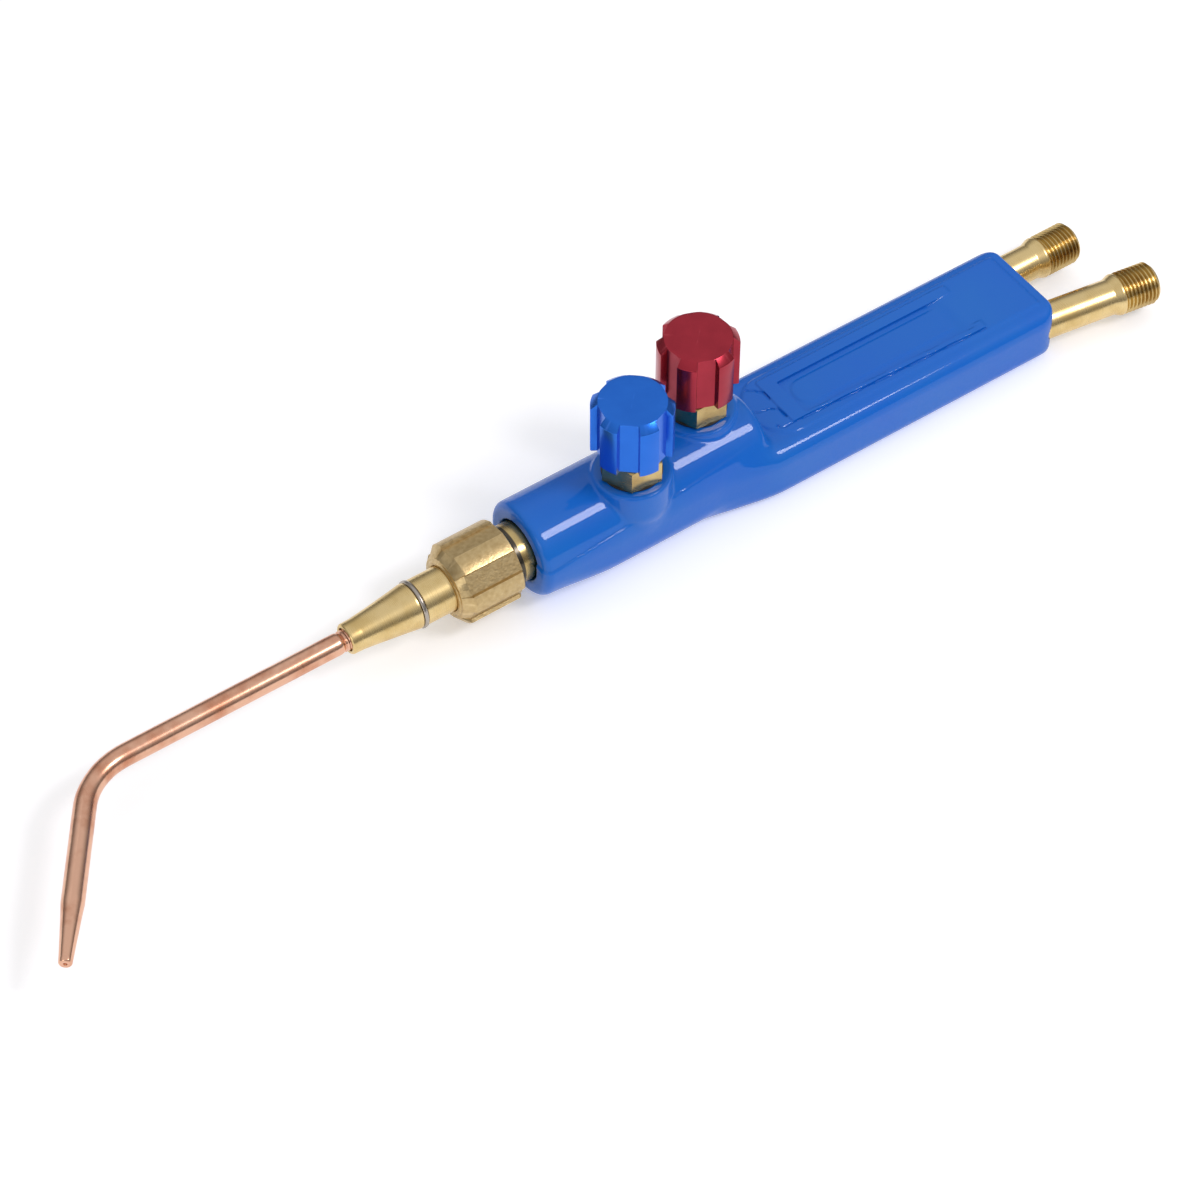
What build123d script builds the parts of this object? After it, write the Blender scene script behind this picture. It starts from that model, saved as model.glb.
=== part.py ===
"""Lampwork torch: painted handle casting, two needle valves, union nut, mixer and bent copper nozzle.

Millimetres. X runs forward to the nozzle, Y to the torch's left and Z up.
The origin is the middle of the handle's flat underside.
"""
import os
from math import cos, pi, radians, sin, tan

from build123d import *

# ---------------------------------------------------------------- driving dimensions
BODY_LENGTH = 184.0
AXIS_HEIGHT = 15.0
BARREL_RADIUS = 14.6
BARREL_KEEL_ROUND = 9.3
HANDLE_HALF_WIDTH = 17.5
HANDLE_THICKNESS = 20.0
HANDLE_EDGE_ROUND = 5.5
PAD_RISE = 0.6
PAD_HALF_WIDTH = 13.4
KEEL_TAPER = 25.0
KEEL_FRONT_DROP = 0.2
KEEL_CORNER_RADIUS = 17.5

VALVE_SPREAD = 4.75
OXYGEN_VALVE_X = 56.0
FUEL_VALVE_X = 26.5
BOSS_RADIUS = 11.6
BOSS_TOP = AXIS_HEIGHT + 15.6

KNOB_RADIUS = 12.0
KNOB_HEIGHT = 19.0
KNOB_LOBES = 6
KNOB_TURNS = 2.0
SPINDLE_PITCH = 1.0

KNOB_RIM_SHARE = 0.82
KNOB_FLUTE_RADIUS = 2.8

NUT_RADIUS = 12.4
NUT_LENGTH = 20.0
NUT_WALL = 4.0
NUT_LOBES = 6
NUT_SLOT_PHASE = 10.0
NUT_SLOT_WIDTH = 6.6
NUT_SLOT_DEPTH = 1.3
NUT_BEVEL = 3.0

TUBE_RADIUS = 3.25
NOZZLE_REACH = 63.2
NOZZLE_BEND_ANGLE = 54.0
NOZZLE_BEND_RADIUS = 22.5
SWAGE_LENGTH = 19.6
SWAGE_TIP_RADIUS = 1.9

INLET_THREAD_RADIUS = 13.157 / 2
INLET_THREAD_LENGTH = 12.5
INLET_HEIGHT = 9.5
INLET_NECK_RADIUS = 5.6
INLET_NECK_DEPTH = 6.0
INLET_TAIL_RADIUS = 4.35
INLET_INSERT = 22.0
INLET_BORE_RADIUS = 1.9
INLET_SEAT_RADIUS = 4.4

# side of the torch, distance from its middle, splay in degrees, neck length and shoulder length
INLETS = {
    "oxygen": (1, 11.2, 8.3, 22.2, 2.2),
    "fuel": (-1, 11.1, 0.0, 12.0, 2.6),
}
# station and side of the torch
VALVES = {
    "oxygen": (OXYGEN_VALVE_X, 1),
    "fuel": (FUEL_VALVE_X, -1),
}

RUNNING_GAP = 0.05
BODY_GAP = 0.3

# ---------------------------------------------------------------- places worked out from them
BODY_FRONT = BODY_LENGTH / 2
BODY_REAR = -BODY_LENGTH / 2
PAD_PROW_X = FUEL_VALVE_X - 15.5
CORE_RADIUS = 9.1
CORE_REAR = FUEL_VALVE_X - 8.5
COLLAR_FRONT = BODY_FRONT + 5.2
SPIGOT_RADIUS = 8.0
SPIGOT_FRONT = COLLAR_FRONT + 12.0
SOCKET_RADIUS = 5.0
SOCKET_REAR = BODY_FRONT - 8.0

NUT_REAR = COLLAR_FRONT + BODY_GAP
NUT_FRONT = NUT_REAR + NUT_LENGTH

FLANGE_REAR = SPIGOT_FRONT + BODY_GAP
FLANGE_FRONT = NUT_FRONT - NUT_WALL - BODY_GAP
FLANGE_RADIUS = SPIGOT_RADIUS - 0.4
MIXER_RADIUS = 7.0
RING_X = NUT_FRONT + 10.1
RING_WIDTH = 1.4
RING_SEAT_RADIUS = 6.3
CONE_REAR = RING_X + 1.6
CONE_FRONT = CONE_REAR + 21.2
CONE_TIP_RADIUS = 4.7
BEND_X = CONE_FRONT + 82.5

SHANK_RADIUS = 5.0
SEAL_THICKNESS = 0.6
HEX_FLATS = 17.0
HEX_HEIGHT = 8.2
HEX_BASE = BOSS_TOP + SEAL_THICKNESS
HEX_TOP = HEX_BASE + HEX_HEIGHT
SEAT_HEIGHT = AXIS_HEIGHT + 1.0
SPINDLE_RADIUS = 2.5
SPINDLE_THREAD_RADIUS = 3.0
PACKING_RADIUS = 4.0
KNOB_BASE = HEX_TOP + 0.6
KNOB_BORE_DEPTH = 14.0
OXYGEN_LOBE_PHASE = 19.0
FUEL_LOBE_PHASE = 38.0
HEX_CORNER_PHASE = 54.6

FEED_RADIUS = 2.0
FEED_BORE_RADIUS = 1.25
FEED_HEIGHT = AXIS_HEIGHT - 2.5
GALLERY_HEIGHT = AXIS_HEIGHT + 3.5
GALLERY_SPREAD = 3.5


# ---------------------------------------------------------------- helpers
def turned(*corners):
    """Solid of revolution about +Z through (radius, height) corners."""
    outline = Polyline(*corners, close=True)
    return revolve(Plane.XZ * make_face(outline), Axis.Z)


def rod(radius, low, high):
    """Round bar about +Z between two heights."""
    return Pos(0, 0, low) * Cylinder(radius, high - low, align=(Align.CENTER, Align.CENTER, Align.MIN))


def on_axis(solid):
    """Lay a +Z solid along the torch axis, so that its heights become X stations."""
    return Pos(0, 0, AXIS_HEIGHT) * Rot(0, 90, 0) * solid


def drill(radius, start, end, across, height):
    """Round hole or bar along X between two stations."""
    return Pos(0, across, height) * Rot(0, 90, 0) * rod(radius, start, end)


def on_valve(solid, valve_x, side):
    """Stand a +Z solid on a valve's axis; side is +1 for oxygen and -1 for fuel."""
    return Pos(valve_x, side * VALVE_SPREAD, 0) * solid


def hexagon(flats, low, high, corner_phase):
    """Hexagonal bar about +Z with one corner turned to corner_phase degrees."""
    outline = RegularPolygon(flats / 2, 6, major_radius=False)
    return Pos(0, 0, low) * extrude(Rot(0, 0, corner_phase) * outline, high - low)


def save(solid, node):
    """Write one node and report its size."""
    export_step(solid, f"parts/{node}.step")
    extent = solid.bounding_box().size
    print(f"{node:24s} {extent.X:7.2f} {extent.Y:7.2f} {extent.Z:7.2f}")


# ---------------------------------------------------------------- handle casting
def barrel():
    """Round-topped barrel whose underside squares off to the flat rest face."""
    rear = FUEL_VALVE_X - 14.0
    keel = Pos(0, AXIS_HEIGHT / 2) * Rectangle(2 * BARREL_RADIUS, AXIS_HEIGHT)
    keel = fillet(keel.vertices().group_by(Axis.Y)[0], BARREL_KEEL_ROUND)
    section = Pos(0, AXIS_HEIGHT) * Circle(BARREL_RADIUS) + keel
    solid = extrude(Plane.YZ * section, BODY_FRONT - rear)
    solid = Pos(rear, 0, 0) * solid
    solid = fillet(solid.faces().sort_by(Axis.X)[-1].edges(), 2.0)
    solid = fillet(solid.faces().sort_by(Axis.X)[0].edges(), 4.5)
    front_radius = BARREL_RADIUS + KEEL_FRONT_DROP
    wide = 2 * BARREL_RADIUS
    taper_rear = BODY_FRONT - KEEL_TAPER
    trim = turned((0, rear - 1.0), (wide, rear - 1.0), (wide, taper_rear), (KEEL_CORNER_RADIUS, taper_rear),
                  (front_radius, BODY_FRONT), (0, BODY_FRONT))
    return solid & on_axis(trim)


def handle_slab():
    """Flat handle that narrows in a gentle ogee into the barrel."""
    neck_x = FUEL_VALVE_X + 13.5
    full_x = FUEL_VALVE_X - 18.5
    neck_half = BARREL_RADIUS - 2.1
    ogee = Spline((neck_x, neck_half), (full_x, HANDLE_HALF_WIDTH), tangents=((-1, 0), (-1, 0)))
    side = Line((full_x, HANDLE_HALF_WIDTH), (BODY_REAR, HANDLE_HALF_WIDTH))
    rear = Line((BODY_REAR, HANDLE_HALF_WIDTH), (BODY_REAR, 0))
    middle = Line((BODY_REAR, 0), (neck_x, 0))
    nose = Line((neck_x, 0), (neck_x, neck_half))
    half = make_face(Curve() + [ogee, side, rear, middle, nose])
    plan = half + mirror(half, Plane.XZ)
    corners = plan.vertices().group_by(Axis.X)[0]
    plan = fillet(corners, 7.0)
    solid = extrude(plan, HANDLE_THICKNESS - PAD_RISE)
    rims = solid.edges().group_by(Axis.Z)
    return fillet(rims[0] + rims[-1], HANDLE_EDGE_ROUND)


def top_pad():
    """Raised plateau on the handle with a round prow behind the fuel valve."""
    prow_centre = PAD_PROW_X - PAD_HALF_WIDTH
    rear = BODY_REAR + 4.0
    length = prow_centre - rear
    plate = Pos(rear + length / 2, 0) * Rectangle(length, 2 * PAD_HALF_WIDTH)
    plate = fillet(plate.vertices().group_by(Axis.X)[0], 4.0)
    plate = plate + Pos(prow_centre, 0) * Circle(PAD_HALF_WIDTH)
    depth = PAD_RISE + 1.4
    return Pos(0, 0, HANDLE_THICKNESS - depth) * extrude(plate, depth)


def top_recess():
    """Long shallow panel sunk into the pad."""
    front = PAD_PROW_X - 15.5
    length = 65.5
    panel = Pos(front - length / 2, 0) * RectangleRounded(length, 15.0, 2.5)
    return Pos(0, 0, HANDLE_THICKNESS - 0.9) * extrude(panel, 2.0)


def casting_cavity():
    """Hollow of the handle, round the feed pipes."""
    front = CORE_REAR - 3.0
    rear = BODY_REAR + INLET_INSERT + 0.5
    hollow = Box(front - rear, 29.5, 11.5)
    hollow = fillet(hollow.edges().filter_by(Axis.Z), 3.0)
    window = drill(CORE_RADIUS - 1.6, front - 1.0, CORE_REAR + 1.0, 0, AXIS_HEIGHT)
    return Pos((front + rear) / 2, 0, 9.8) * hollow + window


def inlet_placed(solid, side, spread, splay):
    """Aim a +Z solid rearwards from the handle's rear face at one inlet."""
    aim = Rot(0, 0, -side * splay) * Rot(0, -90, 0)
    return Pos(BODY_REAR, side * spread, INLET_HEIGHT) * aim * solid


def handle_casting():
    body = barrel() + handle_slab()
    for valve_x, side in VALVES.values():
        body = body + on_valve(rod(BOSS_RADIUS, AXIS_HEIGHT + 1.0, BOSS_TOP), valve_x, side)
    body = body + top_pad() - top_recess()
    body = body - on_axis(rod(CORE_RADIUS, CORE_REAR, BODY_FRONT + 1.0))
    body = body - on_axis(rod(CORE_RADIUS + 0.4, BODY_FRONT - 4.0, BODY_FRONT + 1.0))
    body = body - casting_cavity()
    for valve_x, side in VALVES.values():
        body = body - on_valve(rod(SHANK_RADIUS, AXIS_HEIGHT, BOSS_TOP + 1.0), valve_x, side)
    for side, spread, splay, neck, shoulder in INLETS.values():
        socket = rod(INLET_TAIL_RADIUS, -INLET_INSERT - 1.0, 1.0) + rod(INLET_NECK_RADIUS, -INLET_NECK_DEPTH, 8.0)
        body = body - inlet_placed(socket, side, spread, splay)
    return body


# ---------------------------------------------------------------- valve core
def valve_core():
    """Turned brass core with the outlet spigot, two valve seats and the gas galleries."""
    core = turned((0, CORE_REAR), (CORE_RADIUS, CORE_REAR), (CORE_RADIUS, COLLAR_FRONT),
                  (SPIGOT_RADIUS, COLLAR_FRONT), (SPIGOT_RADIUS, SPIGOT_FRONT - 0.8),
                  (SPIGOT_RADIUS - 0.8, SPIGOT_FRONT), (0, SPIGOT_FRONT))
    core = on_axis(core - rod(SOCKET_RADIUS, SOCKET_REAR, SPIGOT_FRONT + 1.0))
    for valve_x, side in VALVES.values():
        chamber = rod(SHANK_RADIUS, SEAT_HEIGHT, BOSS_TOP)
        orifice = rod(FEED_BORE_RADIUS, FEED_HEIGHT, SEAT_HEIGHT + 1.0)
        core = core - on_valve(chamber + orifice, valve_x, side)
        core = core - drill(FEED_BORE_RADIUS, CORE_REAR - 1.0, valve_x, side * VALVE_SPREAD, FEED_HEIGHT)
        core = core - drill(FEED_BORE_RADIUS, valve_x, SOCKET_REAR + 1.0,
                            side * GALLERY_SPREAD, GALLERY_HEIGHT)
    return core


# ---------------------------------------------------------------- inlets and feed pipes
def inlet(side, spread, splay, neck, shoulder):
    """Hose connector: plain neck, shoulder, G1/4 thread at its crest size and a 60 degree seat."""
    thread_rear = neck + shoulder
    end = thread_rear + INLET_THREAD_LENGTH
    relief = 0.5
    seat_depth = (INLET_SEAT_RADIUS - INLET_BORE_RADIUS) / tan(radians(30))
    body = turned((0, -INLET_INSERT), (INLET_TAIL_RADIUS, -INLET_INSERT), (INLET_TAIL_RADIUS, -INLET_NECK_DEPTH),
                  (INLET_NECK_RADIUS, -INLET_NECK_DEPTH), (INLET_NECK_RADIUS, neck),
                  (INLET_THREAD_RADIUS, thread_rear), (INLET_THREAD_RADIUS, end),
                  (INLET_THREAD_RADIUS - relief, end + relief), (0, end + relief))
    bore = rod(INLET_BORE_RADIUS, -INLET_INSERT - 1.0, end + 1.0)
    seat = turned((0, end + relief - seat_depth), (INLET_BORE_RADIUS, end + relief - seat_depth),
                  (INLET_SEAT_RADIUS, end + relief), (0, end + relief))
    return inlet_placed(body - bore - seat, side, spread, splay)


def feed_pipe(side, spread, splay):
    """Pipe from the inlet's inner end to the rear of the valve core."""
    inner_x = BODY_REAR + INLET_INSERT * cos(radians(splay)) + BODY_GAP
    inner_y = side * (spread - INLET_INSERT * sin(radians(splay)))
    target_y = side * VALVE_SPREAD
    path = FilletPolyline((inner_x, inner_y, INLET_HEIGHT), (inner_x + 18.0, inner_y, INLET_HEIGHT),
                          (CORE_REAR - 22.0, target_y, FEED_HEIGHT), (CORE_REAR, target_y, FEED_HEIGHT),
                          radius=14.0)
    start = Plane(origin=path @ 0, z_dir=path % 0)
    wall = sweep(start * Circle(FEED_RADIUS), path)
    return wall - sweep(start * Circle(FEED_BORE_RADIUS), path)


# ---------------------------------------------------------------- valves
def bonnet():
    """Hexagonal bonnet: chamfered hexagon, threaded shank and a stepped bore for the spindle."""
    corner_radius = HEX_FLATS / 2 / cos(pi / 6)
    body = hexagon(HEX_FLATS, HEX_BASE, HEX_TOP, HEX_CORNER_PHASE)
    body = body & turned((0, HEX_BASE), (corner_radius, HEX_BASE), (corner_radius, HEX_TOP - 0.9),
                         (HEX_FLATS / 2, HEX_TOP), (0, HEX_TOP))
    body = body + rod(SHANK_RADIUS, SEAT_HEIGHT + 4.0, HEX_BASE)
    body = body - rod(SPINDLE_THREAD_RADIUS + RUNNING_GAP, SEAT_HEIGHT, HEX_BASE - 3.0)
    body = body - rod(SPINDLE_RADIUS + RUNNING_GAP, HEX_BASE - 4.0, HEX_TOP + 1.0)
    return body - rod(PACKING_RADIUS, HEX_BASE, HEX_BASE + 4.0)


def bonnet_seal():
    """Thin washer clamped between the hexagon and the casting's boss."""
    return rod(HEX_FLATS / 2 + 1.0, BOSS_TOP, HEX_BASE) - rod(SHANK_RADIUS, BOSS_TOP - 1.0, HEX_BASE + 1.0)


def spindle_packing():
    """Packing ring that seals the spindle inside the bonnet."""
    ring = rod(PACKING_RADIUS, HEX_BASE, HEX_BASE + 3.6)
    return ring - rod(SPINDLE_RADIUS + RUNNING_GAP, HEX_BASE - 1.0, HEX_BASE + 5.0)


def spindle():
    """Needle spindle: cone point, threaded middle and plain stem up into the knob."""
    tip = SEAT_HEIGHT + 0.1
    point_radius = FEED_BORE_RADIUS - 0.1
    thread_low = SEAT_HEIGHT + 4.0
    shoulder = SPINDLE_THREAD_RADIUS - SPINDLE_RADIUS
    thread_high = HEX_BASE - 3.0 - KNOB_TURNS * SPINDLE_PITCH - BODY_GAP - shoulder
    top = KNOB_BASE + KNOB_BORE_DEPTH - BODY_GAP
    return turned((0, tip - 1.0), (point_radius, tip), (2.0, tip + 1.5), (2.0, thread_low),
                  (SPINDLE_THREAD_RADIUS, thread_low + 1.0), (SPINDLE_THREAD_RADIUS, thread_high),
                  (SPINDLE_RADIUS, thread_high + shoulder), (SPINDLE_RADIUS, top - 0.5),
                  (SPINDLE_RADIUS - 0.5, top), (0, top))


def knob(phase):
    """Anodised knob: round top, long chamfer over six lobes, and a blind bore for the spindle."""
    top = KNOB_BASE + KNOB_HEIGHT
    rim = KNOB_RIM_SHARE * KNOB_RADIUS
    chamfer_drop = 2.0
    body = turned((0, KNOB_BASE), (KNOB_RADIUS - 0.3, KNOB_BASE), (KNOB_RADIUS, KNOB_BASE + 0.3),
                  (KNOB_RADIUS, top - chamfer_drop), (rim, top), (0, top))
    flute_centre = rim + KNOB_FLUTE_RADIUS - 0.1
    for index in range(KNOB_LOBES):
        angle = phase + (index + 0.5) * 360 / KNOB_LOBES
        flute = Pos(flute_centre, 0, 0) * rod(KNOB_FLUTE_RADIUS, KNOB_BASE - 1.0, top - 0.6)
        body = body - Rot(0, 0, angle) * flute
    bore = rod(SPINDLE_RADIUS + RUNNING_GAP, KNOB_BASE - 1.0, KNOB_BASE + KNOB_BORE_DEPTH)
    return body - bore


# ---------------------------------------------------------------- union nut, mixer and nozzle
def union_nut():
    """Six-lobed nut, threaded on the spigot, with an inner shoulder over the mixer's flange."""
    solid = turned((0, NUT_REAR), (NUT_RADIUS - 0.6, NUT_REAR), (NUT_RADIUS, NUT_REAR + 0.6),
                   (NUT_RADIUS, NUT_FRONT - NUT_BEVEL), (NUT_RADIUS - NUT_BEVEL, NUT_FRONT), (0, NUT_FRONT))
    floor_radius = NUT_RADIUS - NUT_SLOT_DEPTH
    for index in range(NUT_LOBES):
        slot = Box(4.0, NUT_SLOT_WIDTH, 3 * NUT_LENGTH, align=(Align.MIN, Align.CENTER, Align.CENTER))
        slot = Pos(floor_radius, 0, (NUT_REAR + NUT_FRONT) / 2) * slot
        solid = solid - Rot(0, 0, NUT_SLOT_PHASE + index * 360 / NUT_LOBES) * slot
    thread = rod(SPIGOT_RADIUS + RUNNING_GAP, NUT_REAR - 1.0, NUT_FRONT - NUT_WALL)
    mouth = rod(MIXER_RADIUS + RUNNING_GAP, NUT_REAR, NUT_FRONT + 1.0)
    return on_axis(solid - thread - mouth)


O_RING_SECTION = 0.75
O_RING_STATIONS = {"rear": SOCKET_REAR + 4.0, "front": SOCKET_REAR + 16.0}
TAIL_RADIUS = SOCKET_RADIUS - RUNNING_GAP
MIXER_REAR = SOCKET_REAR + 0.6
NOZZLE_THREAD_RADIUS = 3.0
NOZZLE_THREAD_REAR = CONE_FRONT - 11.0
INJECTOR_RADIUS = 2.6
INJECTOR_LENGTH = 14.0
NOZZLE_BORE_RADIUS = 1.6
NOZZLE_OUTLET_RADIUS = 0.55


def mixer_body():
    """Brass mixer: tail with two seal grooves, flange, ring groove and the long cone."""
    groove_half = O_RING_SECTION + 0.05
    groove_floor = TAIL_RADIUS - 2 * O_RING_SECTION
    corners = [(0, MIXER_REAR), (TAIL_RADIUS - 0.5, MIXER_REAR), (TAIL_RADIUS, MIXER_REAR + 0.5)]
    for station in O_RING_STATIONS.values():
        corners += [(TAIL_RADIUS, station - groove_half), (groove_floor, station - groove_half),
                    (groove_floor, station + groove_half), (TAIL_RADIUS, station + groove_half)]
    corners += [(TAIL_RADIUS, FLANGE_REAR), (FLANGE_RADIUS, FLANGE_REAR), (FLANGE_RADIUS, FLANGE_FRONT),
                (MIXER_RADIUS, FLANGE_FRONT), (MIXER_RADIUS, RING_X - RING_WIDTH / 2 - 0.1),
                (RING_SEAT_RADIUS, RING_X - RING_WIDTH / 2 - 0.1),
                (RING_SEAT_RADIUS, RING_X + RING_WIDTH / 2 + 0.1),
                (MIXER_RADIUS, RING_X + RING_WIDTH / 2 + 0.1), (MIXER_RADIUS, CONE_REAR),
                (CONE_TIP_RADIUS, CONE_FRONT - 0.4), (CONE_TIP_RADIUS - 0.4, CONE_FRONT), (0, CONE_FRONT)]
    bore = rod(INJECTOR_RADIUS, MIXER_REAR - 1.0, MIXER_REAR + INJECTOR_LENGTH)
    bore = bore + rod(1.5, MIXER_REAR, NOZZLE_THREAD_REAR)
    bore = bore + rod(NOZZLE_THREAD_RADIUS, NOZZLE_THREAD_REAR, CONE_FRONT + 1.0)
    bore = bore + rod(TUBE_RADIUS + 0.3, CONE_FRONT - 1.6, CONE_FRONT + 1.0)
    return on_axis(turned(*corners) - bore)


def o_ring(station):
    """Seal ring on the mixer's tail, a running fit in the spigot's socket."""
    return on_axis(Pos(0, 0, station) * Torus(TAIL_RADIUS - O_RING_SECTION, O_RING_SECTION))


def injector():
    """Brass injector pressed into the mixer's tail, with a fine outlet."""
    high = MIXER_REAR + INJECTOR_LENGTH
    body = turned((0, MIXER_REAR), (INJECTOR_RADIUS, MIXER_REAR), (INJECTOR_RADIUS, high - 4.0),
                  (1.2, high - 0.3), (0, high - 0.3))
    body = body - rod(FEED_BORE_RADIUS, MIXER_REAR - 1.0, high - 5.0)
    return on_axis(body - rod(0.35, high - 6.0, high + 1.0))


def retaining_ring():
    """Split steel ring in the mixer's groove."""
    ring = rod(MIXER_RADIUS + 0.45, RING_X - RING_WIDTH / 2, RING_X + RING_WIDTH / 2)
    ring = ring - rod(RING_SEAT_RADIUS, RING_X - RING_WIDTH, RING_X + RING_WIDTH)
    gap = Pos(-MIXER_RADIUS, 0, RING_X) * Box(4.0, 1.2, 2 * RING_WIDTH)
    return on_axis(ring - gap)


def nozzle_path(start, reach):
    """Nozzle centre line: forward along the torch axis, one bend to the left, then straight."""
    turn = radians(NOZZLE_BEND_ANGLE)
    tip = (BEND_X + reach * cos(turn), reach * sin(turn), AXIS_HEIGHT)
    return FilletPolyline((start, 0, AXIS_HEIGHT), (BEND_X, 0, AXIS_HEIGHT), tip, radius=NOZZLE_BEND_RADIUS)


def nozzle():
    """Bent copper tube with a threaded root and a swaged tip."""
    shank_start = CONE_FRONT - 1.4
    route = nozzle_path(shank_start, NOZZLE_REACH - SWAGE_LENGTH)
    section = Plane(origin=route @ 0, z_dir=route % 0)
    tube = sweep(section * Circle(TUBE_RADIUS), route)
    bore = sweep(section * Circle(NOZZLE_BORE_RADIUS), route)
    end = Plane(origin=route @ 1, z_dir=route % 1)
    swage = turned((0, 0), (TUBE_RADIUS, 0), (SWAGE_TIP_RADIUS, SWAGE_LENGTH - 0.5),
                   (SWAGE_TIP_RADIUS - 0.5, SWAGE_LENGTH), (0, SWAGE_LENGTH))
    choke = turned((0, 0), (NOZZLE_BORE_RADIUS, 0), (NOZZLE_OUTLET_RADIUS, SWAGE_LENGTH - 4.0),
                   (NOZZLE_OUTLET_RADIUS, SWAGE_LENGTH), (0, SWAGE_LENGTH))
    root = on_axis(rod(NOZZLE_THREAD_RADIUS, NOZZLE_THREAD_REAR, shank_start))
    root_bore = on_axis(rod(NOZZLE_BORE_RADIUS, NOZZLE_THREAD_REAR, shank_start))
    return tube + end.location * swage + root - bore - end.location * choke - root_bore


# ---------------------------------------------------------------- write every node
os.makedirs("parts", exist_ok=True)
save(handle_casting(), "handle_casting")
save(valve_core(), "valve_core")
for gas, (side, spread, splay, neck, shoulder) in INLETS.items():
    save(inlet(side, spread, splay, neck, shoulder), f"{gas}_inlet")
    save(feed_pipe(side, spread, splay), f"{gas}_feed_pipe")
for gas, (valve_x, side) in VALVES.items():
    phase = OXYGEN_LOBE_PHASE if gas == "oxygen" else FUEL_LOBE_PHASE
    save(on_valve(bonnet(), valve_x, side), f"{gas}_bonnet")
    save(on_valve(bonnet_seal(), valve_x, side), f"{gas}_bonnet_seal")
    save(on_valve(spindle_packing(), valve_x, side), f"{gas}_spindle_packing")
    save(on_valve(spindle(), valve_x, side), f"{gas}_spindle")
    save(on_valve(knob(phase), valve_x, side), f"{gas}_knob")
save(union_nut(), "union_nut")
save(retaining_ring(), "retaining_ring")
save(mixer_body(), "mixer_body")
save(injector(), "injector")
for place, station in O_RING_STATIONS.items():
    save(o_ring(station), f"{place}_o_ring")
save(nozzle(), "nozzle")
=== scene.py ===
# %% [markdown]
# # A lampwork torch
# This lesson dresses a finished CAD model of a small glassworking torch: a painted casting, two needle
# valves with lobed knobs, a union nut, a mixer and a bent copper nozzle. The CAD gives every piece its
# place. Pieces that need softer or finer forms are remade and stand for their CAD nodes, and the rest keep
# their shape and only get a better finish.

# %% Load the frame
from math import cos, hypot, pi, radians, sin, tan

import bmesh
import bpy
import numpy as np
from mathutils import Matrix, Quaternion, Vector


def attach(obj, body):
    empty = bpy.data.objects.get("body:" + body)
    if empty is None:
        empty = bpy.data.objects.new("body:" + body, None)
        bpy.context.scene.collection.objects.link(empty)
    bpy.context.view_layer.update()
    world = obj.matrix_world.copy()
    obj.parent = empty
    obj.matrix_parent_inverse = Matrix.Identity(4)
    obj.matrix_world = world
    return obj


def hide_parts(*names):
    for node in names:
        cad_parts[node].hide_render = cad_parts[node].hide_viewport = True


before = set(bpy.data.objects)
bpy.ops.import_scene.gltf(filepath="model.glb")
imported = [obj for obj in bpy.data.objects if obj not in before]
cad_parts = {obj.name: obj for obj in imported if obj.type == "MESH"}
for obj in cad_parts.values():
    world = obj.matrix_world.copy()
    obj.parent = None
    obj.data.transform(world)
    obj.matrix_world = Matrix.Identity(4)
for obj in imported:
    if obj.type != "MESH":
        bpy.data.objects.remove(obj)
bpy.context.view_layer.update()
MM = 0.001

# %% [markdown]
# ## The camera
# A long lens from just over a metre keeps the torch's proportions calm. The camera stands to the torch's
# front left and looks down by fifty degrees, so that the valves, the handle's flat top and the bend all
# show. Its small roll is kept, because a level camera would turn the whole picture.

# %% Camera
CAMERA_PLACE = Vector((0.50932, 0.62998, 0.87988))
CAMERA_AIM = Vector((0.08378, 0.02866, 0.0150))
CAMERA_ROLL = radians(0.2755)
CAMERA_LENS = 121.27

camera_data = bpy.data.cameras.new("camera")
camera_data.lens = CAMERA_LENS
camera_data.sensor_width = 36.0
camera_data.clip_start = 0.01
camera = bpy.data.objects.new("camera", camera_data)
bpy.context.scene.collection.objects.link(camera)
camera.location = CAMERA_PLACE
camera.rotation_mode = "QUATERNION"
aim = (CAMERA_AIM - CAMERA_PLACE).to_track_quat("-Z", "Y")
camera.rotation_quaternion = aim @ Quaternion((0, 0, 1), CAMERA_ROLL)
bpy.context.scene.camera = camera
print("camera distance", round((CAMERA_AIM - CAMERA_PLACE).length, 3))

# %% [markdown]
# ## Floor and light
# Polished metal shows what stands round it, so the light is drawn as shapes. One softbox stands across from
# the viewer and lays a long pale streak along the glossy barrel. A weaker one fills the front. The sky above
# is even, for the flat tops, and darkens towards the horizon, which gives brass and copper their dark edges.

# %% Floor, lights and world
scene = bpy.context.scene
scene.view_settings.view_transform = "Standard"


def plane_object(name, size, height):
    """Square sheet, used only for the floor."""
    half = size / 2
    mesh = bpy.data.meshes.new(name)
    corners = [(-half, -half, height), (half, -half, height), (half, half, height), (-half, half, height)]
    mesh.from_pydata(corners, [], [(0, 1, 2, 3)])
    item = bpy.data.objects.new(name, mesh)
    scene.collection.objects.link(item)
    return item


def softbox(name, place, aim_at, width, height, power, tint=(1, 1, 1)):
    """Rectangular lamp that faces a point, with its width kept level."""
    lamp = bpy.data.lights.new(name, "AREA")
    lamp.shape = "RECTANGLE"
    lamp.size, lamp.size_y = width, height
    lamp.energy = power
    lamp.color = tint
    item = bpy.data.objects.new(name, lamp)
    item.location = place
    item.rotation_mode = "QUATERNION"
    item.rotation_quaternion = (Vector(aim_at) - Vector(place)).to_track_quat("-Z", "Y")
    scene.collection.objects.link(item)
    return item


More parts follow.
